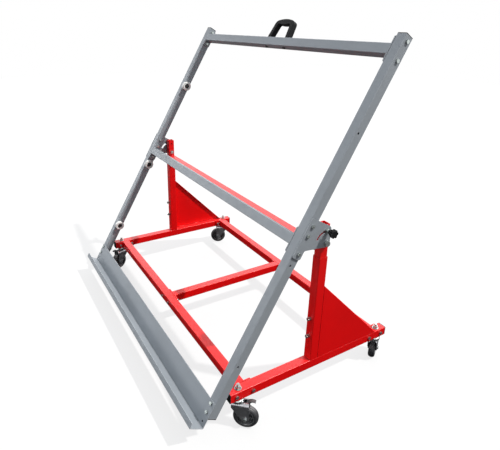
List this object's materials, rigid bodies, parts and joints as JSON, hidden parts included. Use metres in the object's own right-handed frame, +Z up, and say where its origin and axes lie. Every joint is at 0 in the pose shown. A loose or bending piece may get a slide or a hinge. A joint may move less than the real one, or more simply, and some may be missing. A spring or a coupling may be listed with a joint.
{
  "type": "board trolley",
  "caption": "Wheeled board trolley: a tilting tubular frame with tray, rollers and handle on telescoping posts over a base with braked swivel casters.",
  "frame": {"origin": "on the floor, below the middle of the tilt axis", "axes": "+X to the right across the trolley's width, +Y to the rear (the tray is in front), +Z up"},
  "size_m": [1.5346, 1.0166, 1.4816],
  "materials": {
    "red_paint": "gloss",
    "grey_paint": "satin",
    "tray_paint": "satin",
    "zinc": "zinc plated",
    "fork_steel": "zinc plated",
    "black_steel": "black oxide",
    "black_plastic": "matt",
    "pedal_plastic": "matt",
    "hub_plastic": "matt",
    "tyre_rubber": "matt",
    "white_plastic": "satin"
  },
  "bodies": {
    "base": {"right_rail": "red_paint", "left_rail": "red_paint", "front_cross_beam": "red_paint", "rear_cross_beam": "red_paint", "centre_beam": "red_paint", "base_bolts": "zinc", "rail_end_caps": "black_plastic", "right_outer_post": "red_paint", "left_outer_post": "red_paint", "post_clamp_bolts": "zinc", "right_gusset": "red_paint", "left_gusset": "red_paint", "caster_stems": "zinc"},
    "lift": {"right_inner_post": "red_paint", "left_inner_post": "red_paint", "lift_cross_beam": "red_paint", "pivot_bolts": "zinc", "stud_nuts": "zinc"},
    "frame": {"right_tilt_plate": "grey_paint", "left_tilt_plate": "grey_paint", "right_stile": "grey_paint", "left_stile": "grey_paint", "top_rail": "grey_paint", "middle_rail": "grey_paint", "frame_bolts": "zinc", "stile_end_caps": "black_plastic", "tray": "tray_paint", "tray_bolts": "zinc", "handle": "black_plastic", "handle_bolts": "black_steel", "roller_bolts": "black_steel"},
    "right_clamp": {"right_knob": "black_plastic", "right_knob_stud": "zinc"},
    "left_clamp": {"left_knob": "black_plastic", "left_knob_stud": "zinc"},
    "upper_roll": {"upper_roller": "white_plastic"},
    "middle_roll": {"middle_roller": "white_plastic"},
    "lower_roll": {"lower_roller": "white_plastic"},
    "front_right_swivel": {"front_right_fork": "fork_steel", "front_right_axle": "zinc"},
    "front_right_wheel": {"front_right_tyre": "tyre_rubber", "front_right_hub": "hub_plastic"},
    "front_right_brake": {"front_right_brake_pedal": "pedal_plastic"},
    "rear_right_swivel": {"rear_right_fork": "fork_steel", "rear_right_axle": "zinc"},
    "rear_right_wheel": {"rear_right_tyre": "tyre_rubber", "rear_right_hub": "hub_plastic"},
    "rear_right_brake": {"rear_right_brake_pedal": "pedal_plastic"},
    "rear_left_swivel": {"rear_left_fork": "fork_steel", "rear_left_axle": "zinc"},
    "rear_left_wheel": {"rear_left_tyre": "tyre_rubber", "rear_left_hub": "hub_plastic"},
    "rear_left_brake": {"rear_left_brake_pedal": "pedal_plastic"},
    "front_left_swivel": {"front_left_fork": "fork_steel", "front_left_axle": "zinc"},
    "front_left_wheel": {"front_left_tyre": "tyre_rubber", "front_left_hub": "hub_plastic"},
    "front_left_brake": {"front_left_brake_pedal": "pedal_plastic"}
  },
  "joints": [
    {"name": "post_height", "type": "slide", "parent": "base", "child": "lift", "axis": [0, 0, 1], "range_m": [0, 0.17]},
    {"name": "frame_tilt", "type": "hinge", "parent": "lift", "child": "frame", "pos_m": [0, 0, 0.711], "axis": [-1, 0, 0], "range_deg": [0, 60]},
    {"name": "right_clamp_turn", "type": "hinge", "parent": "lift", "child": "right_clamp", "pos_m": [0.76, 0, 0.762], "axis": [1, 0, 0], "range_deg": [0, 360]},
    {"name": "left_clamp_turn", "type": "hinge", "parent": "lift", "child": "left_clamp", "pos_m": [-0.76, 0, 0.762], "axis": [-1, 0, 0], "range_deg": [0, 360]},
    {"name": "upper_roller_spin", "type": "hinge", "parent": "frame", "child": "upper_roll", "pos_m": [-0.672, 0.10174, 1.10721], "axis": [1, 0, 0], "continuous": true},
    {"name": "middle_roller_spin", "type": "hinge", "parent": "frame", "child": "middle_roll", "pos_m": [-0.672, -0.15776, 0.65775], "axis": [1, 0, 0], "continuous": true},
    {"name": "lower_roller_spin", "type": "hinge", "parent": "frame", "child": "lower_roll", "pos_m": [-0.672, -0.36526, 0.29835], "axis": [1, 0, 0], "continuous": true},
    {"name": "front_right_swivel_turn", "type": "hinge", "parent": "base", "child": "front_right_swivel", "pos_m": [0.705, -0.351, 0.12], "axis": [0, 0, 1], "continuous": true},
    {"name": "front_right_wheel_spin", "type": "hinge", "parent": "front_right_swivel", "child": "front_right_wheel", "pos_m": [0.72775, -0.32573, 0.05], "axis": [0.7431, -0.6691, 0], "continuous": true},
    {"name": "front_right_brake_press", "type": "hinge", "parent": "front_right_swivel", "child": "front_right_brake", "pos_m": [0.73043, -0.32276, 0.11], "axis": [-0.7431, 0.6691, 0], "range_deg": [0, 12]},
    {"name": "rear_right_swivel_turn", "type": "hinge", "parent": "base", "child": "rear_right_swivel", "pos_m": [0.705, 0.38, 0.12], "axis": [0, 0, 1], "continuous": true},
    {"name": "rear_right_wheel_spin", "type": "hinge", "parent": "rear_right_swivel", "child": "rear_right_wheel", "pos_m": [0.68599, 0.40819, 0.05], "axis": [0.829, 0.5592, 0], "continuous": true},
    {"name": "rear_right_brake_press", "type": "hinge", "parent": "rear_right_swivel", "child": "rear_right_brake", "pos_m": [0.68375, 0.4115, 0.11], "axis": [-0.829, -0.5592, 0], "range_deg": [0, 12]},
    {"name": "rear_left_swivel_turn", "type": "hinge", "parent": "base", "child": "rear_left_swivel", "pos_m": [-0.705, 0.38, 0.12], "axis": [0, 0, 1], "continuous": true},
    {"name": "rear_left_wheel_spin", "type": "hinge", "parent": "rear_left_swivel", "child": "rear_left_wheel", "pos_m": [-0.71937, 0.34919, 0.05], "axis": [-0.9063, 0.4226, 0], "continuous": true},
    {"name": "rear_left_brake_press", "type": "hinge", "parent": "rear_left_swivel", "child": "rear_left_brake", "pos_m": [-0.72106, 0.34556, 0.11], "axis": [0.9063, -0.4226, 0], "range_deg": [0, 12]},
    {"name": "front_left_swivel_turn", "type": "hinge", "parent": "base", "child": "front_left_swivel", "pos_m": [-0.705, -0.351, 0.12], "axis": [0, 0, 1], "continuous": true},
    {"name": "front_left_wheel_spin", "type": "hinge", "parent": "front_left_swivel", "child": "front_left_wheel", "pos_m": [-0.69281, -0.38274, 0.05], "axis": [-0.9336, -0.3584, 0], "continuous": true},
    {"name": "front_left_brake_press", "type": "hinge", "parent": "front_left_swivel", "child": "front_left_brake", "pos_m": [-0.69138, -0.38648, 0.11], "axis": [0.9336, 0.3584, 0], "range_deg": [0, 12]}
  ]
}
